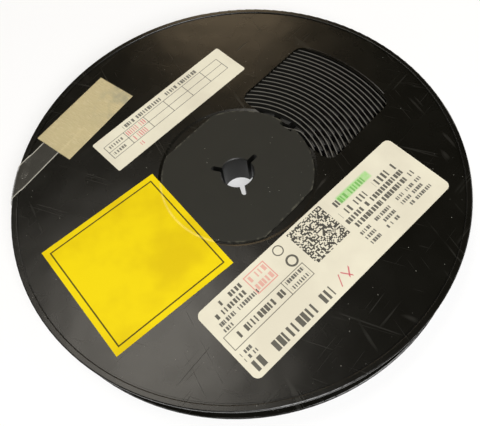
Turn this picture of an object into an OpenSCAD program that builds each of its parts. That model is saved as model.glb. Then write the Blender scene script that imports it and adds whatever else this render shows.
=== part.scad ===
// Seven inch tape-and-reel spool, lying flat on its rear flange.
// Origin: on the arbor axis, at the surface the reel rests on. +Z up, towards the
// labelled front flange. Two flanges snap onto a hub core; a carrier tape is wound
// between them, and its clear end is held to the front flange by masking tape.

/* [Flanges] */
// Diameter over the rim beads
flange_d = 178; // [160:1:200]
// Clear width between the two flanges
flange_gap = 12.4; // [12.2:0.1:14.4]
// Thickness of the flange plate
plate_t = 1.1; // [0.9:0.1:1.6]
// Radial width of the rim bead
bead_w = 2.3; // [1.6:0.1:3]
// Height of the rim bead over the plate
bead_rise = 0.3; // [0.2:0.05:0.5]
// Width of the groove inside the bead
groove_w = 0.5; // [0.3:0.1:0.8]
// Depth of the groove inside the bead
groove_depth = 0.25; // [0.1:0.05:0.4]

/* [Window] */
// Direction of the window's centre line
window_angle = 37.6; // [0:0.1:90]
// Width across the window's straight sides
window_w = 49; // [36:1:56]
// Radius of the window's outer arc
window_outer_r = 69.6; // [55:0.1:76]
// Distance from the axis to the window's inner edge
window_inner = 27.3; // [25:0.1:29]
// Corner radius of the window
window_corner_r = 4.5; // [3:0.5:7]
// Width of the raised lip outside the window's arc
lip_w = 0.8; // [0.5:0.1:1.5]
// Height of that lip over the plate
lip_rise = 0.2; // [0.1:0.05:0.3]

/* [Hub core] */
// Diameter of the hub barrel
hub_d = 60; // [50:1:66]
// Distance across the two flats of the hub's end faces
hub_flats = 54; // [50:0.5:58]
// Height of the hub's end face over the flange plate
face_rise = 0.25; // [0.1:0.05:0.3]
// Depth of the flange's recess around the hub face
recess_depth = 0.3; // [0.1:0.05:0.5]
// Width of the slope at that recess
recess_slope = 1; // [0.5:0.1:2]
// Wall of the hub barrel
barrel_wall = 2; // [1.2:0.1:3]
// Thickness of the closed front face
face_t = 1.6; // [1.2:0.1:2.4]
// Diameter of the arbor hole
arbor_d = 13; // [12.8:0.1:13.5]
// Wall of the sleeve outside the keyways
sleeve_wall = 1.6; // [1:0.1:2.5]
// Width of a keyway
keyway_w = 2; // [1.5:0.1:2.5]
// Distance from the axis to a keyway's round end
keyway_reach = 10.6; // [9:0.1:12]
// Direction of the first of the three keyways
keyway_angle = 37.4; // [0:0.1:120]
// Lead-in at the ends of the arbor hole
arbor_chamfer = 0.4; // [0.2:0.1:0.8]
// Number of ribs between sleeve and barrel
rib_count = 4; // [3:1:8]
// Thickness of a rib
rib_t = 1.2; // [0.8:0.1:2]
// Direction of the first rib
rib_angle = 85; // [0:1:90]
// Reach of the snap ridges over the flange
snap_reach = 0.25; // [0.1:0.05:0.4]
// Length of a snap ridge
snap_length = 16; // [8:1:22]
// Width of the slot that takes the start of the tape
slot_w = 6; // [4:0.5:10]
// Depth of that slot
slot_depth = 1.9; // [1.6:0.1:3]

/* [Carrier tape] */
// Width of the carrier tape
tape_w = 12; // [11.7:0.1:12.2]
// Thickness of the carrier tape with its cover
tape_t = 0.3; // [0.25:0.05:0.4]
// Depth of the component pockets below the tape
pocket_depth = 1.75; // [1.2:0.05:2.2]
// Width of the pockets across the tape
pocket_w = 4.5; // [3.5:0.1:5.5]
// Distance from the tape's front edge to the pockets
pocket_edge = 2.5; // [2:0.1:3]
// Number of half turns on the hub
half_turns = 47; // [11:2:49]
// Direction in which the first turn starts
turn_start_angle = 26; // [24:1:30]

/* [Clear end strip] */
// Width of the clear strip
clear_w = 9; // [8:0.1:9.5]
// Thickness of the clear strip
clear_t = 0.08; // [0.06:0.01:0.12]
// Direction of the strip on the front flange
clear_angle = 45.5; // [42:0.5:48]
// Length of the strip that lies on the flange
clear_length = 36; // [28:1:44]
// Direction of the place where the strip crosses the rim
clear_rim_angle = 171.4; // [168:0.1:175]

/* [Masking tape] */
// Length of the masking tape
masking_length = 39; // [30:1:44]
// Width of the masking tape
masking_w = 19; // [15:0.5:24]
// Thickness of the masking tape
masking_t = 0.14; // [0.1:0.01:0.2]
// Distance of its centre from the rim, along the clear strip
masking_from_rim = 40; // [34:0.5:44]
// Distance of its centre from the clear strip's middle
masking_aside = 1.6; // [0:0.1:4]
// Direction of its long side
masking_angle = 44.4; // [40:0.1:50]

/* [Labels] */
// Thickness of the paper labels
label_t = 0.1; // [0.08:0.01:0.15]
// Length of the large white label
large_length = 101.7; // [90:0.1:105]
// Width of the large white label
large_w = 31; // [25:0.5:32]
// Direction of its long side
large_angle = 34.4; // [30:0.1:40]
// Gap from the hub to its inner edge
large_gap = 1.6; // [1:0.1:3]
// Shift of its centre along its long side
large_shift = 1.1; // [-4:0.1:4]
// Corner radius of the large label
large_corner_r = 2.5; // [0.5:0.1:4]
// Side of the square yellow label
yellow_side = 50.8; // [45:0.1:52]
// Direction of its first side
yellow_angle = 30.7; // [25:0.1:36]
// Direction of its centre from the axis
yellow_bearing = 214; // [210:0.1:218]
// Distance of its centre from the axis
yellow_distance = 50.7; // [48:0.1:51]
// Length of the small white label
small_length = 70.8; // [60:0.1:74]
// Gap from its outer corner to the masking tape
small_to_masking = 3.2; // [2:0.1:6]
// Direction of its long side
small_angle = 35.7; // [30:0.1:40]
// Gap from the hub to its inner edge
small_gap = 5.4; // [4:0.1:7]
// Shift of its centre along its long side
small_shift = 4.1; // [0:0.1:6]
// Corner radius of the small label
small_corner_r = 0.8; // [0.2:0.1:3]

/* [Hidden] */
$fn = 128;
eps = 0.01;                                  // reach of a cut past a face
flange_r = flange_d / 2;
hub_r = hub_d / 2;
arbor_r = arbor_d / 2;
snap_play = 0.1;                             // running clearance of flange on hub
ridge_drop = 0.08;                           // snap ridges below the hub's end faces
recess_r = hub_r + snap_play + 0.3;          // floor of the recess round the hub face
rear_face = bead_rise;                       // outer face of the rear plate
rear_inner = rear_face + plate_t;            // where the tape's edge rests
front_inner = rear_inner + flange_gap;
front_face = front_inner + plate_t;          // where the labels lie
reel_h = front_face + bead_rise;
pitch = tape_t + pocket_depth;               // radial growth of one turn
first_turn_r = hub_r + pocket_depth + tape_t / 2;
roll_r = first_turn_r + pitch * half_turns / 2 + tape_t / 2;
sleeve_r = keyway_reach + sleeve_wall;
bead_corner = 0.45;                          // rounding of the rim bead
lip_set_back = 0.15;                         // lip from the window's edge
step_play = 0.2;                             // riser of a label clear of the hub face
clear_lay = 0.02;                            // strip over the plate it lies on
clear_dir = [cos(clear_angle), sin(clear_angle)];
clear_side = [-sin(clear_angle), cos(clear_angle)];
rim_point = flange_r * [cos(clear_rim_angle), sin(clear_rim_angle)];
masking_centre = rim_point + masking_from_rim * clear_dir
    + masking_aside * [clear_dir.y, -clear_dir.x];
// The small label is as wide as the hub and the masking tape leave it room for.
masking_inner = masking_centre * [-sin(masking_angle), cos(masking_angle)] - masking_w / 2;
small_turn = small_angle - masking_angle;
small_outer = (masking_inner - small_to_masking
    - (small_shift - small_length / 2) * sin(small_turn)) / cos(small_turn);
small_w = small_outer - hub_r - small_gap;
bead_climb = 1.2;                            // length over which the strip climbs the bead
fold_bend = 1;                               // inside radius of the fold over the rim
fold_r = flange_r - fold_bend * 0.45;
fold_top = reel_h + 0.2;
clear_skew = clear_angle + 180 - clear_rim_angle;         // strip against the rim's radius
clear_reach = clear_w / 2 * sin(clear_skew);
clear_near = (bead_w + bead_climb + clear_reach) / cos(clear_skew);   // starts to climb
clear_far = -(fold_bend * PI / 2 + clear_reach) / cos(clear_skew);    // all past the fold
level_run = 12;
entry_run = 30;
hold_run = 10;                               // overlap on the roll's outer turn
far_flat = rim_point + clear_far * clear_dir;
far_angle = atan2(far_flat[1], far_flat[0]);
far_z = fold_top - fold_bend - (norm(far_flat) - fold_r - fold_bend * PI / 2);
fall_angle = clear_skew - 90;
tape_mid = rear_inner + tape_w / 2;
seat_r = roll_r + clear_lay;

// Where the flat hub faces are cut: a disc with two parallel flats along the window.
module hub_outline(grow) {
    rotate(window_angle)
        intersection() {
            circle(r = hub_r + grow);
            square([3 * hub_r, hub_flats + 2 * grow], center = true);
        }
}

// The window: an arc about the axis, two sides along its centre line, a straight inner
// edge that the hub's face stands across, and a round at each corner.
module window_outline() {
    inset = window_w / 2 - window_corner_r;
    outer_x = sqrt(pow(window_outer_r - window_corner_r, 2) - inset * inset);
    inner_x = window_inner + window_corner_r;
    tangent = atan2(inset, outer_x);
    rotate(window_angle)
        polygon(concat(
            arc([0, 0], window_outer_r, -tangent, tangent, 24),
            arc([outer_x, inset], window_corner_r, tangent, 90, 8),
            arc([inner_x, inset], window_corner_r, 90, 180, 8),
            arc([inner_x, -inset], window_corner_r, 180, 270, 8),
            arc([outer_x, -inset], window_corner_r, 270, 360 - tangent, 8)));
}

function arc(centre, r, from, to, steps) =
    [for (k = [0 : steps])
        let (angle = from + (to - from) * k / steps)
        centre + r * [cos(angle), sin(angle)]];

// One flange moulding as it lies with its outer face up and its inner face at z = 0.
module flange() {
    difference() {
        union() {
            cylinder(r = flange_r - bead_w / 2, h = plate_t);
            rim_bead();
            window_lip();
        }
        translate([0, 0, -eps])
            linear_extrude(plate_t + bead_rise + 2 * eps) {
                hub_outline(snap_play);
                window_outline();
            }
        rotate_extrude()
            polygon([[0, plate_t - recess_depth],
                     [recess_r, plate_t - recess_depth],
                     [recess_r + recess_slope, plate_t],
                     [recess_r + recess_slope, plate_t + 1],
                     [0, plate_t + 1]]);
        rotate_extrude()
            translate([flange_r - bead_w - groove_w, plate_t - groove_depth])
                square([groove_w, 1]);
    }
}

module rim_bead() {
    height = plate_t + bead_rise;
    rotate_extrude()
        translate([flange_r - bead_w, 0]) {
            translate([0, bead_corner]) square([bead_w, height - 2 * bead_corner]);
            translate([bead_corner, 0]) square([bead_w - 2 * bead_corner, height]);
            for (x = [bead_corner, bead_w - bead_corner], y = [bead_corner, height - bead_corner])
                translate([x, y]) circle(r = bead_corner, $fn = 32);
        }
}

module window_lip() {
    half = asin((window_w / 2 - window_corner_r) / window_outer_r);
    rotate(window_angle - half)
        rotate_extrude(angle = 2 * half)
            translate([window_outer_r + lip_set_back, plate_t - eps])
                polygon([[0, 0], [lip_w * 0.3, lip_rise + eps],
                         [lip_w * 0.6, lip_rise + eps], [lip_w, 0]]);
}

module front_flange() {
    color([0.10, 0.10, 0.09])
        translate([0, 0, front_inner]) flange();
}

// The same moulding, turned over end for end about the line across its window.
module rear_flange() {
    color([0.10, 0.10, 0.09])
        translate([0, 0, rear_inner])
            rotate(2 * window_angle) rotate([0, 180, 0]) flange();
}

// Core: barrel, sleeve and ribs, closed at the front, with an end boss through each flange.
module hub_core() {
    rear_end = rear_face - face_rise;
    front_end = front_face + face_rise;
    color([0.22, 0.22, 0.21])
        difference() {
            union() {
                difference() {
                    union() {
                        translate([0, 0, rear_end])
                            linear_extrude(front_end - rear_end) hub_outline(0);
                        translate([0, 0, rear_inner]) cylinder(r = hub_r, h = flange_gap);
                    }
                    translate([0, 0, rear_end - eps])
                        linear_extrude(front_end - face_t - rear_end) core_hollow();
                }
                translate([0, 0, rear_end]) cylinder(r = sleeve_r, h = front_end - rear_end - eps);
                snap_ridges(front_face - recess_depth, front_end - ridge_drop);
                snap_ridges(rear_end + ridge_drop, rear_face + recess_depth);
            }
            arbor_hole(rear_end, front_end);
            rotate(window_angle)
                translate([hub_r - slot_depth, -slot_w / 2, rear_end - 1])
                    cube([slot_depth + 1, slot_w, reel_h + 2]);
        }
}

// Plan of the space between sleeve and barrel, divided by the ribs.
module core_hollow() {
    difference() {
        rotate(window_angle)
            intersection() {
                circle(r = hub_r - barrel_wall - slot_depth);
                square([3 * hub_r, hub_flats - 2 * barrel_wall], center = true);
            }
        circle(r = sleeve_r - eps);
        for (k = [0 : rib_count - 1])
            rotate(rib_angle + 360 * k / rib_count)
                translate([0, -rib_t / 2]) square([hub_r, rib_t]);
    }
}

// A low ridge along each flat, over the edge of the flange it holds.
module snap_ridges(low, high) {
    rotate(window_angle)
        for (side = [-1, 1])
            translate([-snap_length / 2, side * hub_flats / 2 - snap_reach, low])
                cube([snap_length, 2 * snap_reach, high - low]);
}

module arbor_hole(low, high) {
    translate([0, 0, low - 1]) cylinder(r = arbor_r, h = high - low + 2);
    for (k = [0 : 2]) rotate(keyway_angle + 120 * k) {
        translate([0, -keyway_w / 2, low - 1])
            cube([keyway_reach - keyway_w / 2, keyway_w, high - low + 2]);
        translate([keyway_reach - keyway_w / 2, 0, low - 1])
            cylinder(d = keyway_w, h = high - low + 2);
    }
    translate([0, 0, high - arbor_chamfer])
        cylinder(r1 = arbor_r, r2 = arbor_r + 2 * arbor_chamfer, h = 2 * arbor_chamfer);
    translate([0, 0, low - arbor_chamfer])
        cylinder(r1 = arbor_r + 2 * arbor_chamfer, r2 = arbor_r, h = 2 * arbor_chamfer);
}

// The roll: a spiral of half rings about two centres, a quarter pitch either side of
// the axis, with the row of pockets as a solid band between its turns.
module carrier_tape() {
    color([0.45, 0.45, 0.43])
        translate([0, 0, rear_inner]) {
            difference() {
                rotate(turn_start_angle)
                    union() {
                        for (half = [0 : half_turns - 1])
                            half_turn(half, first_turn_r - tape_t / 2 + growth(half),
                                      first_turn_r + tape_t / 2 + growth(half), 0, tape_w);
                        for (half = [half_turns - 2, half_turns - 1])
                            half_turn(half, hub_r / 2, first_turn_r + growth(half),
                                      tape_w - pocket_edge - pocket_w, pocket_w);
                    }
                translate([0, 0, -1]) cylinder(r = hub_r + snap_play, h = tape_w + 2);
            }
            tape_start();
        }
}

// Half ring number half, counted outwards and clockwise.
module half_turn(half, inner, outer, low, height) {
    even = half % 2 == 0;
    translate([(even ? -1 : 1) * pitch / 4, 0, low])
        rotate(even ? 180 : 0)
            rotate_extrude(angle = 180, $fn = 30)
                translate([inner, 0]) square([outer - inner, height]);
}

// How much further out half ring number half lies than the tape's first point.
function growth(half) = pitch * half / 2 + pitch / 4;

// The first end of the tape, bent inwards into the slot of the hub.
module tape_start() {
    inner_r = hub_r - slot_depth + 0.7;
    bend = [inner_r * cos(window_angle + 3), inner_r * sin(window_angle + 3)];
    root = first_turn_r * [cos(turn_start_angle), sin(turn_start_angle)];
    along = (bend - root) / norm(bend - root);
    across = [-along[1], along[0]] * tape_t / 2;
    linear_extrude(tape_w)
        polygon([root - across, bend - across, bend + across, root + across]);
}

// A thin sheet lying at z = 0 with the outline of child 0. It steps up by rise over
// child 1, and child 2 is child 1 grown by the thickness of the sheet's riser.
module stepped_sheet(thick, rise) {
    linear_extrude(thick)
        difference() {
            children(0);
            children(1);
        }
    linear_extrude(rise + thick)
        intersection() {
            children(0);
            difference() {
                children(2);
                children(1);
            }
        }
    translate([0, 0, rise])
        linear_extrude(thick)
            intersection() {
                children(0);
                children(1);
            }
}

module round_rectangle(length, width, corner) {
    square([length - 2 * corner, width], center = true);
    square([length, width - 2 * corner], center = true);
    for (x = [-1, 1], y = [-1, 1])
        translate([x * (length / 2 - corner), y * (width / 2 - corner)])
            circle(r = corner, $fn = 32);
}

// Plan of the clear strip where it lies flat on the flange.
module clear_outline(grow) {
    translate(rim_point)
        rotate(clear_angle)
            translate([0, -clear_w / 2 - grow])
                square([clear_length + grow, clear_w + 2 * grow]);
}

module masking_tape() {
    color([0.84, 0.78, 0.62])
        translate([0, 0, front_face])
            stepped_sheet(masking_t, clear_t + 2 * clear_lay) {
                translate(masking_centre)
                    rotate(masking_angle)
                        square([masking_length, masking_w], center = true);
                clear_outline(clear_lay);
                clear_outline(clear_lay + masking_t);
            }
}

module large_label() {
    color([0.93, 0.93, 0.92])
        translate([0, 0, front_face])
            linear_extrude(label_t)
                rotate(large_angle)
                    translate([large_shift, -(hub_r + large_gap + large_w / 2)])
                        round_rectangle(large_length, large_w, large_corner_r);
}

module small_label() {
    color([0.93, 0.93, 0.92])
        translate([0, 0, front_face])
            linear_extrude(label_t)
                rotate(small_angle)
                    translate([small_shift, hub_r + small_gap + small_w / 2])
                        round_rectangle(small_length, small_w, small_corner_r);
}

// Steps up where its corner overlaps the hub's raised end face.
module yellow_label() {
    color([0.95, 0.88, 0.05])
        translate([0, 0, front_face])
            stepped_sheet(label_t, face_rise) {
                translate(yellow_distance * [cos(yellow_bearing), sin(yellow_bearing)])
                    rotate(yellow_angle)
                        square([yellow_side, yellow_side], center = true);
                circle(r = hub_r + step_play);
                circle(r = hub_r + step_play + label_t);
            }
}

// The clear end strip: flat on the flange, folded over the rim, then level round the
// roll, whose outer turn it joins. Rows run from its end under the masking tape.
module clear_strip() {
    columns = 10;
    fold_rows = 20;
    outer_rows = 18;
    outer_run = level_run + entry_run + hold_run;
    rows = concat([for (along = [clear_length : -6 : clear_near + 1]) [along, 0]],
                  [for (k = [0 : fold_rows])
                      [clear_near + (clear_far - clear_near) * k / fold_rows, 0]],
                  [for (k = [1 : outer_rows]) [clear_far, outer_run * k / outer_rows]]);
    across = [for (k = [0 : columns]) clear_w * (k / columns - 0.5)];
    wide = columns + 1;
    count = len(rows);
    under = count * wide;                    // the under side's points follow the top's
    end = under - wide;
    color([0.55, 0.55, 0.55])
        polyhedron(
            points = [for (lift = [clear_t, 0], row = rows, b = across)
                         strip_point(row, b, lift)],
            faces = concat(
                [for (r = [0 : count - 2], k = [0 : columns - 1])
                    each let (a = r * wide + k)
                        concat(panel(a, a + 1, a + wide, a + wide + 1),
                               panel(under + a + 1, under + a,
                                     under + a + wide + 1, under + a + wide))],
                [for (r = [0 : count - 2])
                    each let (a = r * wide, c = a + columns)
                        concat(panel(under + a, a, under + a + wide, a + wide),
                               panel(c, under + c, c + wide, under + c + wide))],
                [for (k = [0 : columns - 1])
                    each concat(panel(under + k, under + k + 1, k, k + 1),
                                panel(end + k, end + k + 1,
                                      under + end + k, under + end + k + 1))]));
}

// Two triangles on four corners, near pair first.
function panel(a, b, c, d) = [[a, c, b], [b, c, d]];

// A point of the strip: row is [distance inwards from the rim, distance run past the
// fold], across is measured from the strip's middle, lift from its under side.
function strip_point(row, across, lift) =
    row[1] == 0 ? folded_point(rim_point + row[0] * clear_dir + across * clear_side, lift)
                : round_point(row[1], across, lift);

// The flange's profile followed outwards: plate, bead, round fold, then straight down.
function folded_point(flat, lift) =
    let (r = norm(flat),
         turn = min(max((r - fold_r) / fold_bend, 0), PI / 2) * 180 / PI,
         down = max(r - fold_r - fold_bend * PI / 2, 0),
         climb = front_face + clear_lay + (fold_top - front_face - clear_lay)
                 * smooth((r - flange_r + bead_w + bead_climb) / bead_climb),
         bent = fold_bend + lift,
         out = min(r, fold_r) + bent * sin(turn),
         z = r < fold_r ? climb + lift : fold_top - fold_bend + bent * cos(turn) - down)
    [out * flat[0] / r, out * flat[1] / r, z];

// Past the fold the strip turns level, then moves inwards on to the roll.
function round_point(run, across, lift) =
    let (slope = fall_angle * (1 - smooth(run / level_run)),
         in_part = smooth((run - level_run) / entry_run),
         r = fold_r + fold_bend + (seat_r - fold_r - fold_bend) * in_part + lift,
         angle = far_angle + run * cos(fall_angle / 3) / flange_r * 180 / PI
                 + across * sin(slope) / flange_r * 180 / PI,
         z = far_z + (tape_mid - far_z) * smooth(run / level_run) - across * cos(slope))
    [r * cos(angle), r * sin(angle), z];

function smooth(x) = let (c = min(max(x, 0), 1)) c * c * (3 - 2 * c);

front_flange();
rear_flange();
hub_core();
carrier_tape();
clear_strip();
masking_tape();
large_label();
yellow_label();
small_label();
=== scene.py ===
"""Looks of a component tape reel: two glossy dark flanges on a matt hub, the
wound carrier tape seen through the windows, a clear tape end folded over the
rim, masking tape and three paper labels. Lengths in metres, reel axis on +Z."""
import math

import bmesh
import bpy
import numpy as np
from mathutils import Matrix, Vector

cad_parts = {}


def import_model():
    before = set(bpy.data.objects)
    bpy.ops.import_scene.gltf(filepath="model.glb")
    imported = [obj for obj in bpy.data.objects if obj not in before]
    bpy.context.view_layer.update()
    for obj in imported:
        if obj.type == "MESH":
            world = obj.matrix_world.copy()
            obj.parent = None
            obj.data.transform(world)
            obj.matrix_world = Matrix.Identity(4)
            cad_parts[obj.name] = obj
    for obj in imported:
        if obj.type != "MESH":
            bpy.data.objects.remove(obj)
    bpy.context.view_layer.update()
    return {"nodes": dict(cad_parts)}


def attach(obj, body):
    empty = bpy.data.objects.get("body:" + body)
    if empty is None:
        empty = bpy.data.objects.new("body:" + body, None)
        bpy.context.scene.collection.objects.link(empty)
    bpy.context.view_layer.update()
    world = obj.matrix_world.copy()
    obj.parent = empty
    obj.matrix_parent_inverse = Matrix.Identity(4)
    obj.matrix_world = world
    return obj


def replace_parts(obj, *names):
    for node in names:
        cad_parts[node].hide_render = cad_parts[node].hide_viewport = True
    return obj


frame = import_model()

MM = 0.001
RNG = np.random.default_rng(41)

# ---- sizes repeated from the part's source, in millimetres -----------------
REEL_H = 15.2
FLANGE_R = 89.0
FRONT_FACE = 14.9
REAR_INNER = 1.4
HUB_R = 30.0
TAPE_W = 12.0
TAPE_T = 0.3
DRAWN_HALF = 0.72  # half of the drawn tape, in tape thicknesses
PITCH = 2.05
FIRST_TURN_R = 31.9
HALF_TURNS = 47
TURN_START = math.radians(26)
POCKET_DEPTH = 1.75
POCKET_W = 4.5
POCKET_EDGE = 2.5
POCKET_STEP = 8.0
POCKET_LENGTH = 4.9
POCKET_FILL = 0.86  # share of a pocket's depth that stands out of the thicker drawn tape
WINDOW_ANGLE = math.radians(37.6)
SLOT_DEPTH = 1.9
ROLL_R = 80.2


# ---- meshes ----------------------------------------------------------------
def smooth(t):
    """Zero below 0, one above 1, and an S-curve between."""
    t = np.clip(t, 0.0, 1.0)
    return t * t * (3.0 - 2.0 * t)


def mesh_object(name, points, faces, material):
    """A smooth mesh from an array of points in millimetres and a list of faces."""
    mesh = bpy.data.meshes.new(name)
    mesh.from_pydata((np.asarray(points) * MM).tolist(), [], np.asarray(faces).tolist())
    mesh.validate()
    mesh.polygons.foreach_set("use_smooth", np.ones(len(mesh.polygons), bool))
    piece = bpy.data.objects.new(name, mesh)
    bpy.context.scene.collection.objects.link(piece)
    mesh.materials.append(material)
    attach(piece, "root")
    return piece


def grid_faces(rows, columns, close_columns=False, start=0):
    """Four-sided faces of a grid of rows x columns points, row by row."""
    i = np.arange(rows - 1)[:, None]
    j = np.arange(columns if close_columns else columns - 1)[None, :]
    a = i * columns + j
    b = i * columns + (j + 1) % columns
    c = (i + 1) * columns + (j + 1) % columns
    d = (i + 1) * columns + j
    return start + np.stack([a, b, c, d], -1).reshape(-1, 4)


def turned(x, y, angle):
    """Plan points turned by an angle about the axis."""
    return (x * math.cos(angle) - y * math.sin(angle),
            x * math.sin(angle) + y * math.cos(angle))


def sheet_object(name, plan_x, plan_y, low, thick, material):
    """A thin closed sheet: a grid of plan points with its underside at low and
    its top one thickness above, joined round the edge."""
    rows, columns = plan_x.shape
    bottom = np.stack([plan_x, plan_y, low], -1).reshape(-1, 3)
    top = np.stack([plan_x, plan_y, low + thick], -1).reshape(-1, 3)
    count = rows * columns
    upper = grid_faces(rows, columns, start=count)
    lower = grid_faces(rows, columns)[:, ::-1]
    index = np.arange(count).reshape(rows, columns)
    edge = np.concatenate([index[0, :], index[1:, -1], index[-1, -2::-1], index[-2:0:-1, 0]])
    after = np.roll(edge, -1)
    sides = np.stack([edge, after, after + count, edge + count], -1)
    faces = np.concatenate([upper, lower, sides])
    return mesh_object(name, np.concatenate([bottom, top]), faces, material)


def recalculated(piece):
    """Turns all faces of a closed piece outwards."""
    work = bmesh.new()
    work.from_mesh(piece.data)
    bmesh.ops.recalc_face_normals(work, faces=work.faces)
    work.to_mesh(piece.data)
    work.free()
    return piece


# ---- shader maths ----------------------------------------------------------
class Socket:
    """A value in a material's node tree; operators add its Math nodes."""

    def __init__(self, tree, link):
        self.tree, self.link = tree, link

    def node(self, kind, settings=None, out=0, **inputs):
        """Adds any node: its settings first, then the values or links of its
        sockets, named by socket name or by i0, i1 and so on for a place."""
        made = self.tree.nodes.new(kind)
        for key, value in (settings or {}).items():
            setattr(made, key, value)
        for key, value in inputs.items():
            if key[0] == "i" and key[1:].isdigit():
                target = made.inputs[int(key[1:])]
            else:
                target = made.inputs[key.replace("_", " ")]
            if isinstance(value, Socket):
                self.tree.links.new(value.link, target)
            else:
                target.default_value = value
        return Socket(self.tree, made.outputs[out])

    def maths(self, operation, *values):
        return self.node("ShaderNodeMath", {"operation": operation},
                         **{f"i{k}": v for k, v in enumerate(values)})

    def __add__(self, other): return self.maths("ADD", self, other)
    def __sub__(self, other): return self.maths("SUBTRACT", self, other)
    def __mul__(self, other): return self.maths("MULTIPLY", self, other)
    def __truediv__(self, other): return self.maths("DIVIDE", self, other)
    def __radd__(self, other): return self.maths("ADD", other, self)
    def __rsub__(self, other): return self.maths("SUBTRACT", other, self)
    def __rmul__(self, other): return self.maths("MULTIPLY", other, self)
    def __gt__(self, other): return self.maths("GREATER_THAN", self, other)
    def __lt__(self, other): return self.maths("LESS_THAN", self, other)
    def __abs__(self): return self.maths("ABSOLUTE", self)
    def max(self, other): return self.maths("MAXIMUM", self, other)
    def min(self, other): return self.maths("MINIMUM", self, other)
    def floor(self): return self.maths("FLOOR", self)

    def step(self, low, high):
        """Zero below low, one above high, smooth between."""
        return self.node("ShaderNodeMapRange", {"interpolation_type": "SMOOTHSTEP"},
                         i0=self, i1=low, i2=high, i3=0.0, i4=1.0)

    def mix(self, a, b):
        """Colour a where this is zero and colour b where it is one."""
        return self.node("ShaderNodeMix", {"data_type": "RGBA"}, out=2,
                         i0=self, i6=a, i7=b)


def rgb(red, green, blue):
    """A colour as it is written on screen, 0-255, in the renderer's linear values."""
    def linear(c):
        c /= 255.0
        return c / 12.92 if c <= 0.04045 else ((c + 0.055) / 1.055) ** 2.4
    return (linear(red), linear(green), linear(blue), 1.0)


class Finish:
    """A material with its Principled shader and object coordinates in millimetres."""

    def __init__(self, name, **constants):
        self.material = bpy.data.materials.new(name)
        self.material.use_nodes = True
        tree = self.material.node_tree
        tree.nodes.clear()
        self.shader = tree.nodes.new("ShaderNodeBsdfPrincipled")
        self.output = tree.nodes.new("ShaderNodeOutputMaterial")
        tree.links.new(self.shader.outputs[0], self.output.inputs[0])
        self.tree = tree
        for key, value in constants.items():
            self.shader.inputs[key.replace("_", " ")].default_value = value
        place = tree.nodes.new("ShaderNodeTexCoord")
        scale = tree.nodes.new("ShaderNodeVectorMath")
        scale.operation = "SCALE"
        scale.inputs["Scale"].default_value = 1000.0
        tree.links.new(place.outputs["Object"], scale.inputs[0])
        self.place = Socket(tree, scale.outputs[0])
        self.x, self.y, self.z = self.parts(self.place)

    def parts(self, vector):
        split = self.tree.nodes.new("ShaderNodeSeparateXYZ")
        self.tree.links.new(vector.link, split.inputs[0])
        return tuple(Socket(self.tree, split.outputs[k]) for k in range(3))

    def turned(self, angle, centre=(0.0, 0.0)):
        """Coordinates along and across a direction, from a centre."""
        c, s = math.cos(angle), math.sin(angle)
        dx, dy = self.x - centre[0], self.y - centre[1]
        return dx * c + dy * s, dy * c - dx * s

    def vector(self, x, y, z=0.0):
        return self.place.node("ShaderNodeCombineXYZ", i0=x, i1=y, i2=z)

    def noise(self, scale, detail=2.0, roughness=0.5, at=None, distortion=0.0):
        """Noise from 0 to 1 whose grain is about one over scale millimetres."""
        return self.place.node("ShaderNodeTexNoise", {"noise_dimensions": "3D"},
                               Vector=at or self.place, Scale=scale, Detail=detail,
                               Roughness=roughness, Distortion=distortion)

    def radius(self):
        return self.place.node("ShaderNodeVectorMath", {"operation": "LENGTH"}, out=1,
                               i0=self.vector(self.x, self.y))

    def put(self, socket, value):
        if isinstance(value, Socket):
            self.tree.links.new(value.link, self.shader.inputs[socket])
        else:
            self.shader.inputs[socket].default_value = value

    def bump(self, height, distance=0.1, strength=1.0):
        """Height in millimetres times distance, as a Bump node on Normal."""
        made = self.place.node("ShaderNodeBump", i0=strength, i1=distance * MM, Height=height)
        self.tree.links.new(made.link, self.shader.inputs["Normal"])


def scratches(finish, angle, spacing, width=0.02):
    """Thin broken lines along one direction: a stretched cell pattern."""
    along, across = finish.turned(angle)
    lines = finish.place.node("ShaderNodeTexVoronoi", {"feature": "DISTANCE_TO_EDGE"},
                              Vector=finish.vector(along * 0.012, across), Scale=1.0 / spacing)
    broken = finish.noise(0.05, 2.0, at=finish.vector(along, across * 3.0, angle)).step(0.56, 0.66)
    return (1.0 - lines.step(0.0, width)) * broken


def flange_finish():
    """Glossy black plastic with hairline scratches, dust and soft sinks."""
    f = Finish("flange_plastic", IOR=1.5)
    dust = f.place.node("ShaderNodeTexVoronoi", {"feature": "F1"}, Vector=f.place, Scale=0.42)
    specks = (1.0 - dust.step(0.03, 0.07)) * f.noise(0.3, 1.0).step(0.5, 0.56)
    lines = scratches(f, 0.7, 3.5).max(scratches(f, -0.5, 5.0)).max(scratches(f, 1.9, 7.0))
    cloudy = f.noise(0.06, 3.0)
    base = cloudy.mix(rgb(5, 4, 1), rgb(10, 9, 4))
    base = (lines * 0.07).mix(base, rgb(96, 94, 86))
    base = (specks * 0.55).mix(base, rgb(190, 188, 176))
    f.put("Base Color", base)
    f.put("Roughness", 0.22 + cloudy * 0.1 + lines * 0.12 + specks * 0.4)
    wave = f.noise(0.035, 2.0) * 1.6 + f.noise(1.5, 2.0) * 0.012 - lines * 0.012 + specks * 0.05
    f.bump(wave, 0.22)
    return f.material


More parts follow.
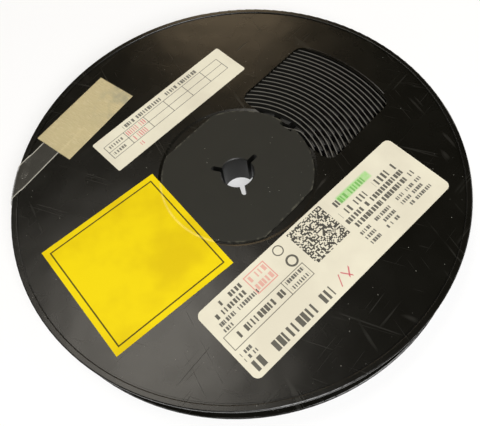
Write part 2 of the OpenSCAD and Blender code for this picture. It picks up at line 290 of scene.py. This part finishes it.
def hub_finish():
    """Matt dark moulded plastic with fine grain, pale rubbed edges and specks, and painted shade on
    the walls round the centre.
    """
    f = Finish("hub_plastic", IOR=1.48)
    radius = f.radius()
    grain = f.noise(2.6, 4.0, 0.6)
    cloudy = f.noise(0.09, 3.0)
    u, v = f.turned(WINDOW_ANGLE)
    rim = radius.step(29.2, 29.9).max(abs(v).step(26.3, 26.9)) * (f.z > 14.6)
    rubbed = rim * f.noise(0.5, 3.0).step(0.45, 0.62)
    dust = f.place.node("ShaderNodeTexVoronoi", {"feature": "F1"}, Vector=f.place, Scale=0.5)
    specks = (1.0 - dust.step(0.03, 0.08)) * f.noise(0.35, 1.0).step(0.52, 0.58)
    base = cloudy.mix(rgb(12, 12, 6), rgb(22, 22, 14))
    base = (grain * 0.3).mix(base, rgb(44, 44, 34))
    base = (rubbed * 0.28).mix(base, rgb(118, 116, 100))
    base = (specks * 0.7).mix(base, rgb(200, 198, 186))
    # painted shade: the walls within 12.1 mm of the axis, below the face, are painted near black to
    # stand for the shade inside the bore
    bore_shade = (radius < 12.1) * (f.z < 15.0)
    base = (bore_shade * 0.8).mix(base, rgb(6, 6, 6))
    f.put("Base Color", base)
    f.put("Roughness", 0.56 + grain * 0.12 - bore_shade * 0.22)
    f.bump(grain * 0.5 + cloudy * 1.4, 0.06)
    return f.material


def carrier_finish():
    """Black embossed tape with paler bands along both long edges, a painted highlight for the light
    the tape's top edges catch.
    """
    f = Finish("carrier_plastic", IOR=1.5)
    low_edge, high_edge = REAR_INNER, REAR_INNER + TAPE_W
    # painted highlight: pale bands along the tape's long edges stand for the light its top edges catch
    edge_highlight = (abs(f.z - (low_edge + high_edge) / 2)).step(TAPE_W / 2 - 0.16, TAPE_W / 2 - 0.04)
    wave = f.noise(0.4, 3.0)
    base = wave.mix(rgb(20, 20, 18), rgb(34, 33, 30))
    base = (edge_highlight * 0.8).mix(base, rgb(98, 96, 90))
    f.put("Base Color", base)
    f.put("Roughness", 0.34 + wave * 0.15 + edge_highlight * 0.2)
    f.bump(wave * 0.5, 0.1)
    return f.material


def clear_finish():
    """Clear cover tape: greyish where it is flat, with a painted highlight that makes it whitish and
    more opaque along its long edges.
    """
    f = Finish("clear_film", IOR=1.45, Roughness=0.1)
    across = f.place.node("ShaderNodeAttribute", {"attribute_name": "across"}, out=2)
    wave = f.noise(0.25, 3.0)
    # painted highlight: the film is made whitish and more opaque along its long edges, where its edges
    # catch the light
    edge = abs(across).step(0.86, 0.98)
    f.put("Base Color", edge.mix(rgb(86, 84, 78), rgb(190, 187, 176)))
    f.put("Roughness", 0.12 + wave * 0.14)
    f.put("Alpha", 0.26 + wave * 0.14 + edge * 0.5)
    f.bump(wave, 0.5)
    return f.material


def masking_finish(centre, angle):
    """Creped tan paper: fine wrinkles across the tape, with grey smudges."""
    f = Finish("masking_paper", Roughness=0.8, Specular_IOR_Level=0.25)
    along, across = f.turned(angle, centre)
    crepe = f.noise(1.0, 4.0, 0.65, at=f.vector(along * 1.9, across * 0.28))
    cloudy = f.noise(0.1, 3.0)
    smudge = (along.step(-2.0, 12.0) * (1.0 - across.step(-3.0, 6.0))
              * f.noise(0.16, 3.0).step(0.42, 0.66))
    base = cloudy.mix(rgb(200, 184, 140), rgb(178, 166, 128))
    base = (crepe.step(0.45, 0.75) * 0.35).mix(base, rgb(224, 212, 176))
    base = (smudge * 0.6).mix(base, rgb(146, 144, 124))
    f.put("Base Color", base)
    f.bump(crepe, 0.4)
    return f.material


def box_mask(along, across, left, right, low, high, blur=0.08):
    """One inside a rectangle of the label's own coordinates."""
    return (along.step(left - blur, left + blur) * (1.0 - along.step(right - blur, right + blur))
            * across.step(low - blur, low + blur) * (1.0 - across.step(high - blur, high + blur)))


def line_box(along, across, left, right, low, high, width=0.3):
    """The outline of a rectangle."""
    return (box_mask(along, across, left, right, low, high)
            - box_mask(along, across, left + width, right - width, low + width, high - width)).max(0.0)


def dashes(f, along, across, left, right, low, high, step, fill=0.62, seed=0.0):
    """A row of short bars of uneven length and height, standing for a line of print."""
    slot = (along / step).floor()
    cell = along / step - slot
    chance = f.place.node("ShaderNodeTexWhiteNoise", {"noise_dimensions": "2D"},
                          Vector=f.vector(slot, seed))
    body = (cell < (0.25 + chance * fill)) * (chance > 0.14)
    return body * box_mask(along, across, left, right, low, high, 0.04)


def paper(name, tint, shade):
    """Uncoated white or coloured paper with faint fibres and handling marks."""
    f = Finish(name, Roughness=0.62, Specular_IOR_Level=0.35)
    fibre = f.noise(1.2, 4.0, 0.6)
    cloudy = f.noise(0.05, 3.0)
    base = cloudy.step(0.35, 0.7).mix(tint, shade)
    f.bump(fibre * 0.25 + cloudy * 1.2, 0.12)
    return f, base


def large_print(f, a, c):
    """Generic fields of print along and across the label, as (mask, colour,
    weight): bars for lines, a framed box, rings, plain cells and pen strokes."""
    ink, soft, red = rgb(16, 16, 18), rgb(44, 44, 46), rgb(214, 92, 92)
    # left, right, low, high, bar step, colour
    rows = [(-42, -31.5, 11.6, 13.6, 1.5, ink), (-46.5, -31, 8.6, 10.6, 1.4, ink),
            (-47, -29, 5.9, 7.5, 1.1, soft), (-47.5, -43, 3.6, 5.0, 1.1, soft),
            (-47.5, -23, -1.4, 1.2, 1.6, ink), (-20.6, -12, 0.6, 2.1, 1.1, soft),
            (-20.6, -12, -2.3, -0.8, 1.1, soft), (-49, -44, -6.3, -4.9, 1.1, soft),
            (-49, -43, -8.5, -7.1, 1.1, soft), (-49, -11, -13.6, -9.6, 2.3, ink),
            (12.5, 30, 8.8, 11.4, 1.4, ink), (12.5, 26, 4.0, 6.8, 1.7, ink),
            (31, 44.5, 4.0, 7.0, 1.9, ink), (12, 43, 0.9, 3.0, 1.5, ink),
            (12, 46, -2.3, -0.2, 1.5, ink), (12, 17, -5.4, -4.0, 1.1, soft),
            (20, 28, -5.4, -4.0, 1.1, soft), (32, 46, -5.4, -4.0, 1.1, soft),
            (12, 17, -7.9, -6.5, 1.1, soft), (20, 28, -7.9, -6.5, 1.1, soft),
            (32, 46, -7.9, -6.5, 1.1, soft), (12, 17, -10.4, -9.0, 1.1, soft),
            (20, 28, -10.4, -9.0, 1.1, soft), (34, 46, -10.4, -9.0, 1.1, soft)]
    marks = [(dashes(f, a, c, l, r, lo, hi, step, seed=k * 3.7), colour, 0.85)
             for k, (l, r, lo, hi, step, colour) in enumerate(rows)]
    cell = 0.52
    chance = f.place.node("ShaderNodeTexWhiteNoise", {"noise_dimensions": "2D"},
                          Vector=f.vector((a / cell).floor(), (c / cell).floor()))
    marks.append((box_mask(a, c, -7.3, 10.0, -1.4, 14.4, 0.02) * (chance > 0.46), ink, 0.92))
    marks.append((line_box(a, c, -49.2, -10.8, -3.2, 3.0, 0.28), ink, 0.8))
    marks.append((box_mask(a, c, -21.8, -21.5, -3.2, 3.0, 0.03), ink, 0.8))
    for x, y, radius, width in ((-13.6, 12.3, 1.9, 0.16), (-12.8, 6.0, 2.0, 0.34)):
        away = f.place.node("ShaderNodeVectorMath", {"operation": "LENGTH"}, out=1,
                            i0=f.vector(a - x, c - y))
        marks.append((1.0 - abs(away - radius).step(width, width + 0.12), ink, 0.85))
    marks.append((line_box(a, c, -30.0, -20.2, 5.4, 13.6, 0.4), red, 0.65))
    marks.append((dashes(f, a, c, -29, -21, 10.2, 12.6, 1.6, seed=91.0), red, 0.5))
    marks.append((dashes(f, a, c, -29, -21, 6.4, 8.8, 1.6, seed=95.0), red, 0.5))
    marks.append((box_mask(a, c, 16.5, 33.5, 8.6, 12.0, 0.5) * (0.45 + f.noise(0.9) * 0.9).min(1.0),
                  rgb(126, 204, 96), 0.72))
    for x, slope in ((-6.4, 1.9), (-3.0, -1.5), (-1.8, 1.2)):
        stroke = abs(c + 11.2 - (a - x) * slope)
        marks.append(((1.0 - stroke.step(0.25, 0.6))
                      * box_mask(a, c, x - 1.3, x + 1.3, -13.4, -9.2, 0.1), rgb(190, 48, 78), 0.8))
    return marks


def printed(name, tint, shade, centre, angle, layout):
    """A paper label with its fields of print laid over the paper's colour."""
    f, base = paper(name, tint, shade)
    a, c = f.turned(angle, centre)
    for mask, colour, weight in layout(f, a, c):
        base = (mask * weight).mix(base, colour)
    f.put("Base Color", base)
    return f.material


def small_print(f, a, c):
    """A row of bars over a ruled table of two rows, with strokes of red pen."""
    ink, soft, red = rgb(48, 48, 50), rgb(66, 66, 68), rgb(206, 70, 92)
    columns, rows = (-32.8, -22.6, -11.7, -0.6, 10.2, 20.6, 30.6), (-3.0, 0.75, 4.5)
    marks = [(dashes(f, a, c, -21, 20, 5.5, 7.4, 1.25, seed=5.0), ink, 0.8)]
    for x in columns:
        marks.append((box_mask(a, c, x - 0.15, x + 0.15, rows[0], rows[-1], 0.03), soft, 0.85))
    for y in rows:
        marks.append((box_mask(a, c, columns[0], columns[-1], y - 0.13, y + 0.13, 0.03), soft, 0.85))
    for k, y in enumerate((1.9, -1.8)):
        marks.append((dashes(f, a, c, -31.8, -24.4 - k, y, y + 1.5, 1.2, seed=20.0 + k), ink, 0.75))
    pen = ((-22, -12.2, 1.4, 4.0), (-21, -14.5, -2.6, 0.2), (-21.6, -19.4, -6.3, -4.4))
    for k, (l, r, lo, hi) in enumerate(pen):
        marks.append((dashes(f, a, c, l, r, lo, hi, 1.0, fill=0.3, seed=40.0 + k), red, 0.7))
    return marks


def yellow_finish(centre, angle):
    """Yellow label with only a plain border line and a painted highlight along a crease over the hub's
    edge.
    """
    f, base = paper("yellow_paper", rgb(230, 205, 0), rgb(214, 186, 0))
    a, c = f.turned(angle, centre)
    radius = f.radius()
    line = line_box(a, c, -23.2, 23.2, -23.2, 23.2, 0.55)
    # painted highlight: a pale yellow line along the crease over the hub's edge
    crease_highlight = (1.0 - abs(radius - 30.4).step(0.1, 0.6)) * (f.noise(0.5, 2.0) * 0.6 + 0.2)
    base = (line * 0.92).mix(base, rgb(34, 32, 18))
    base = (crease_highlight * 0.5).mix(base, rgb(252, 240, 150))
    f.put("Base Color", base)
    f.shader.inputs["Roughness"].default_value = 0.5
    f.shader.inputs["Specular IOR Level"].default_value = 0.15
    return f.material


# ---- the wound carrier tape ------------------------------------------------
def wound_radius(turn):
    """Distance of the tape from the axis after an angle wound clockwise: two
    half rings a turn, on centres a quarter of the pitch either side."""
    half = np.floor(turn / math.pi)
    local = turn - half * math.pi
    return FIRST_TURN_R + TAPE_T / 2 + PITCH * half / 2 + PITCH / 4 * (1 - np.cos(local))


def carrier_strip(material):
    """The embossed tape as one closed strip: a cross-section of eight points
    carried along the spiral, whose inner side steps out by the pocket depth
    wherever the run along the tape is inside a pocket."""
    end = HALF_TURNS * math.pi
    fine = np.linspace(0.0, end, 60000)
    run = np.concatenate([[0.0], np.cumsum(wound_radius(fine[1:]) * np.diff(fine))])
    first = np.arange(10.0, run[-1] - POCKET_STEP, POCKET_STEP)
    offsets = np.array([0.0, 0.22, 2.5, POCKET_LENGTH - 0.22, POCKET_LENGTH, 6.4])
    depth = np.array([0.0, 1.0, 1.0, 1.0, 0.0, 0.0])
    stops = (first[:, None] + offsets[None, :]).ravel()
    deep = np.tile(depth, len(first))
    lead = np.linspace(0.0, 9.0, 5)
    stops = np.concatenate([lead, stops, [run[-1]]])
    deep = np.concatenate([np.zeros(5), deep, [0.0]])
    turn = np.interp(stops, run, fine)
    radius = wound_radius(turn)
    angle = TURN_START - turn
    # the end caught in the hub's slot comes before the first turn
    t = np.linspace(1.0, 0.0, 9)[:-1]
    slot_angle = TURN_START + t * (WINDOW_ANGLE + math.radians(3) - TURN_START)
    slot_radius = (FIRST_TURN_R + TAPE_T / 2
                   - (FIRST_TURN_R - HUB_R + SLOT_DEPTH - 0.7) * smooth(t))
    angle = np.concatenate([slot_angle, angle])
    radius = np.concatenate([slot_radius, radius])
    deep = np.concatenate([np.zeros(8), deep])
    stops = np.concatenate([np.full(8, -1.0), stops])
    wobble = 0.05 * np.sin(angle * 3.0 + stops * 0.011) * smooth(stops / 40.0)
    radius = radius + wobble
    bottom, top = REAR_INNER + 0.02, REAR_INNER + TAPE_W - 0.02
    high = top - POCKET_EDGE
    low = high - POCKET_W
    half = TAPE_T * DRAWN_HALF
    levels = [top, bottom, bottom, low, low + 0.15, high - 0.15, high, top]
    sides = [half, half, -half, -half, None, None, -half, -half]
    rings = []
    for level, side in zip(levels, sides):
        offset = (-half - POCKET_DEPTH * POCKET_FILL * deep if side is None
                  else np.full_like(radius, side))
        r = radius + offset
        rings.append(np.stack([r * np.cos(angle), r * np.sin(angle),
                               np.full_like(r, level)], -1))
    points = np.stack(rings, 1)
    rows, columns = points.shape[:2]
    faces = grid_faces(rows, columns, close_columns=True)
    caps = np.array([[0, 1, 2, 3], [0, 3, 6, 7], [3, 4, 5, 6]])
    last = (rows - 1) * columns
    faces = np.concatenate([faces, caps[:, ::-1], caps + last])
    piece = mesh_object("carrier_strip", points.reshape(-1, 3), faces, material)
    recalculated(piece)
    piece.data.set_sharp_from_angle(angle=math.radians(35))
    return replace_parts(piece, "carrier_tape")


# ---- the clear end of the cover tape ---------------------------------------
CLEAR_W, CLEAR_T, CLEAR_LAY = 9.0, 0.08, 0.02
CLEAR_ANGLE, CLEAR_LENGTH = math.radians(45.5), 36.0
CLEAR_RIM_ANGLE = math.radians(171.4)
BEAD_W, BEAD_CLIMB, FOLD_BEND = 2.3, 1.2, 1.0
FOLD_R = FLANGE_R - FOLD_BEND * 0.45
FOLD_TOP = REEL_H + 0.2
CLEAR_DIR = np.array([math.cos(CLEAR_ANGLE), math.sin(CLEAR_ANGLE)])
CLEAR_SIDE = np.array([-CLEAR_DIR[1], CLEAR_DIR[0]])
RIM_POINT = FLANGE_R * np.array([math.cos(CLEAR_RIM_ANGLE), math.sin(CLEAR_RIM_ANGLE)])


def folded_point(flat, lift):
    """A point of the flat strip laid on the flange, lifted over the rim's bead
    and bent down over its edge by a quarter round."""
    r = np.hypot(flat[..., 0], flat[..., 1])
    turn = np.clip((r - FOLD_R) / FOLD_BEND, 0.0, math.pi / 2)
    down = np.maximum(r - FOLD_R - FOLD_BEND * math.pi / 2, 0.0)
    base = FRONT_FACE + CLEAR_LAY
    climb = base + (FOLD_TOP - base) * smooth((r - FLANGE_R + BEAD_W + BEAD_CLIMB) / BEAD_CLIMB)
    bent = FOLD_BEND + lift
    out = np.minimum(r, FOLD_R) + bent * np.sin(turn)
    z = np.where(r < FOLD_R, climb + lift, FOLD_TOP - FOLD_BEND + bent * np.cos(turn) - down)
    return np.stack([flat[..., 0] * out / r, flat[..., 1] * out / r, z], -1)


def clear_strip(material):
    """The strip as rows across it: flat on the flange, over the rim, then turned level and laid on the
    outer turn."""
    skew = CLEAR_ANGLE + math.pi - CLEAR_RIM_ANGLE
    reach = CLEAR_W / 2 * math.sin(skew)
    far = -(FOLD_BEND * math.pi / 2 + reach) / math.cos(skew)
    near = (BEAD_W + BEAD_CLIMB + reach) / math.cos(skew)
    far_flat = RIM_POINT + far * CLEAR_DIR
    far_angle = math.atan2(far_flat[1], far_flat[0])
    far_z = FOLD_TOP - FOLD_BEND - (np.hypot(*far_flat) - FOLD_R - FOLD_BEND * math.pi / 2)
    fall = skew - math.pi / 2
    level_run, entry_run, hold_run = 12.0, 30.0, 10.0
    tape_mid = REAR_INNER + TAPE_W / 2
    seat = ROLL_R + CLEAR_LAY
    steps = np.concatenate([np.linspace(CLEAR_LENGTH, near, 26)[:-1], np.linspace(near, far, 44)])
    across = np.linspace(-1.0, 1.0, 13)
    flat_rows = (RIM_POINT + steps[:, None, None] * CLEAR_DIR
                 + across[None, :, None] * (CLEAR_W / 2) * CLEAR_SIDE)
    runs = np.linspace(0.0, level_run + entry_run + hold_run, 60)[1:]
    layers = []
    for lift in (0.0, CLEAR_T):
        on_flange = folded_point(flat_rows, lift)
        slope = fall * (1 - smooth(runs / level_run))
        r = (FOLD_R + FOLD_BEND + lift
             + (seat - FOLD_R - FOLD_BEND) * smooth((runs - level_run) / entry_run))
        wide = across[None, :] * CLEAR_W / 2
        angle = (far_angle + (runs * math.cos(fall / 3) / FLANGE_R)[:, None]
                 + wide * np.sin(slope)[:, None] / FLANGE_R)
        z = ((far_z + (tape_mid - far_z) * smooth(runs / level_run))[:, None]
             - wide * np.cos(slope)[:, None])
        tail = np.stack([r[:, None] * np.cos(angle), r[:, None] * np.sin(angle), z], -1)
        layers.append(np.concatenate([on_flange, tail]))
    rows, columns = layers[0].shape[:2]
    low, high = (layer.reshape(-1, 3) for layer in layers)
    count = rows * columns
    index = np.arange(count).reshape(rows, columns)
    edge = np.concatenate([index[0, :], index[1:, -1], index[-1, -2::-1], index[-2:0:-1, 0]])
    after = np.roll(edge, -1)
    faces = np.concatenate([grid_faces(rows, columns)[:, ::-1],
                            grid_faces(rows, columns, start=count),
                            np.stack([edge, after, after + count, edge + count], -1)])
    piece = mesh_object("clear_tape_end", np.concatenate([low, high]), faces, material)
    recalculated(piece)
    store = piece.data.attributes.new("across", "FLOAT", "POINT")
    store.data.foreach_set("value", np.tile(across, 2 * rows).astype(np.float32))
    piece.data.set_sharp_from_angle(angle=math.radians(50))
    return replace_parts(piece, "clear_strip")


# ---- masking tape ----------------------------------------------------------
MASKING_L, MASKING_W, MASKING_T = 39.0, 19.0, 0.14
MASKING_ANGLE = math.radians(44.4)
MASKING_CENTRE = (RIM_POINT + 40.0 * CLEAR_DIR - 1.6 * CLEAR_SIDE)


def masking_sheet(material):
    """Creped paper on the flange that rises over the clear strip beneath it.
    Its short ends are cut to fine teeth: every second row end is set back."""
    along = np.linspace(-MASKING_L / 2, MASKING_L / 2, 150)
    across = np.linspace(-MASKING_W / 2, MASKING_W / 2, 77)
    a, c = np.meshgrid(along, across, indexing="ij")
    tooth = 0.32 * (np.arange(len(across)) % 2)[None, :]
    a = a - np.sign(a) * tooth * smooth((np.abs(a) - MASKING_L / 2 + 0.8) / 0.5)
    cos, sin = math.cos(MASKING_ANGLE), math.sin(MASKING_ANGLE)
    x = MASKING_CENTRE[0] + a * cos - c * sin
    y = MASKING_CENTRE[1] + a * sin + c * cos
    dx, dy = x - RIM_POINT[0], y - RIM_POINT[1]
    on = dx * CLEAR_DIR[0] + dy * CLEAR_DIR[1]
    off = dx * CLEAR_SIDE[0] + dy * CLEAR_SIDE[1]
    over = ((1 - smooth((np.abs(off) - CLEAR_W / 2 - 0.05) / 0.5))
            * (1 - smooth((on - CLEAR_LENGTH - 0.05) / 0.5)))
    crepe = (0.016 * np.sin(a * 5.6 + 1.2 * np.sin(c * 0.9) + 0.8 * np.sin(c * 2.3))
             + RNG.normal(0, 0.006, a.shape))
    low = FRONT_FACE + 0.015 + (CLEAR_T + 2 * CLEAR_LAY) * over
    piece = sheet_object("masking_piece", x, y, low, MASKING_T + crepe, material)
    recalculated(piece)
    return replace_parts(piece, "masking_tape")


# ---- materials on the pieces -----------------------------------------------
def dress(node, material):
    """Gives a CAD node its finish."""
    piece = frame["nodes"][node]
    for place in piece.material_slots:
        place.material = material
    if not piece.material_slots:
        piece.data.materials.append(material)


LABEL_MIDDLE = {  # centre of each label on the flange, in millimetres
    "large_label": turned(1.1, -(HUB_R + 1.6 + 15.5), math.radians(34.4)),
    "small_label": turned(4.1, HUB_R + 5.4 + 9.0, math.radians(35.7)),
    "yellow_label": turned(50.7, 0.0, math.radians(214))}
LABEL_ANGLE = {"large_label": math.radians(34.4), "small_label": math.radians(35.7),
               "yellow_label": math.radians(30.7)}
flange = flange_finish()
dress("front_flange", flange)
dress("rear_flange", flange)
dress("hub_core", hub_finish())
WHITE, SHADED = rgb(222, 217, 196), rgb(212, 206, 186)
for label, layout in (("large_label", large_print), ("small_label", small_print)):
    dress(label, printed("paper_" + label, WHITE, SHADED, LABEL_MIDDLE[label],
                         LABEL_ANGLE[label], layout))
dress("yellow_label", yellow_finish(LABEL_MIDDLE["yellow_label"], LABEL_ANGLE["yellow_label"]))
carrier_strip(carrier_finish())
clear_strip(clear_finish())
masking_sheet(masking_finish(tuple(MASKING_CENTRE), MASKING_ANGLE))


# ---- camera, floor and light -----------------------------------------------
def camera():
    lens = bpy.data.cameras.new("camera")
    lens.lens, lens.sensor_width, lens.sensor_fit = 43.126, 36.0, "HORIZONTAL"
    lens.shift_x, lens.shift_y = -0.0363, -0.0284
    lens.clip_start = 0.01
    holder = bpy.data.objects.new("camera", lens)
    bpy.context.scene.collection.objects.link(holder)
    holder.matrix_world = Matrix((
        (0.983538, 0.178844, -0.025853, 0.0),
        (-0.168739, 0.857785, -0.485522, -0.119457),
        (-0.064657, 0.481892, 0.873842, 0.205855),
        (0.0, 0.0, 0.0, 1.0)))
    bpy.context.scene.camera = holder


def lamp(name, bearing, height, distance, size, power, tint=(1, 1, 1)):
    """A soft square lamp seen from the reel at a bearing and height in degrees."""
    light = bpy.data.lights.new(name, "AREA")
    light.shape, light.size, light.energy, light.color = "DISK", size, power, tint
    b, h = math.radians(bearing), math.radians(height)
    place = np.array([math.sin(b) * math.cos(h), math.cos(b) * math.cos(h), math.sin(h)]) * distance
    holder = bpy.data.objects.new(name, light)
    bpy.context.scene.collection.objects.link(holder)
    holder.location = place
    holder.rotation_euler = Vector(-place).to_track_quat("-Z", "Y").to_euler()


def floor():
    """Pale floor that reads white to the camera, to gloss and through film, and
    keeps the reel's soft shadow."""
    mesh = bpy.data.meshes.new("floor")
    s, z = 3.0, -0.0002
    mesh.from_pydata([(-s, -s, z), (s, -s, z), (s, s, z), (-s, s, z)], [], [(0, 1, 2, 3)])
    piece = bpy.data.objects.new("floor", mesh)
    bpy.context.scene.collection.objects.link(piece)
    material = bpy.data.materials.new("floor")
    material.use_nodes = True
    tree = material.node_tree
    tree.nodes.clear()
    paint = tree.nodes.new("ShaderNodeBsdfDiffuse")
    paint.inputs["Color"].default_value = (0.92, 0.92, 0.92, 1)
    glow = tree.nodes.new("ShaderNodeEmission")
    path = tree.nodes.new("ShaderNodeLightPath")
    camera_ray, gloss, through = (Socket(tree, path.outputs[k]) for k in (
        "Is Camera Ray", "Is Glossy Ray", "Is Transmission Ray"))
    seen = (camera_ray * 0.55).max(gloss * 0.3).max(through * 0.6)
    both = tree.nodes.new("ShaderNodeMixShader")
    out = tree.nodes.new("ShaderNodeOutputMaterial")
    tree.links.new(seen.link, both.inputs[0])
    tree.links.new(paint.outputs[0], both.inputs[1])
    tree.links.new(glow.outputs[0], both.inputs[2])
    tree.links.new(both.outputs[0], out.inputs[0])
    mesh.materials.append(material)


def world():
    """Dim grey surroundings that read white to the camera."""
    sky = bpy.data.worlds.new("surroundings")
    bpy.context.scene.world = sky
    sky.use_nodes = True
    tree = sky.node_tree
    back = tree.nodes["Background"]
    path = tree.nodes.new("ShaderNodeLightPath")
    seen = Socket(tree, path.outputs["Is Camera Ray"])
    place = tree.nodes.new("ShaderNodeTexCoord")
    split = tree.nodes.new("ShaderNodeSeparateXYZ")
    tree.links.new(place.outputs["Generated"], split.inputs[0])
    height = Socket(tree, split.outputs[2]).step(0.05, 0.5)
    around = height.mix((0.75, 0.72, 0.66, 1), (0.03, 0.03, 0.028, 1))
    colour = seen.mix(around, (1, 1, 1, 1))
    tree.links.new(colour.link, back.inputs["Color"])


camera()
floor()
world()
lamp("key", 165, 48, 1.3, 0.9, 21.0)
lamp("sheen", -42, 71, 1.2, 0.46, 2.7, (1.0, 0.94, 0.84))
lamp("warm", 3, 36, 1.3, 0.36, 1.15, (1.0, 0.76, 0.48))
lamp("rim", 48, 12, 1.2, 0.5, 2.2, (1.0, 0.95, 0.88))
bpy.context.scene.view_settings.view_transform = "Standard"
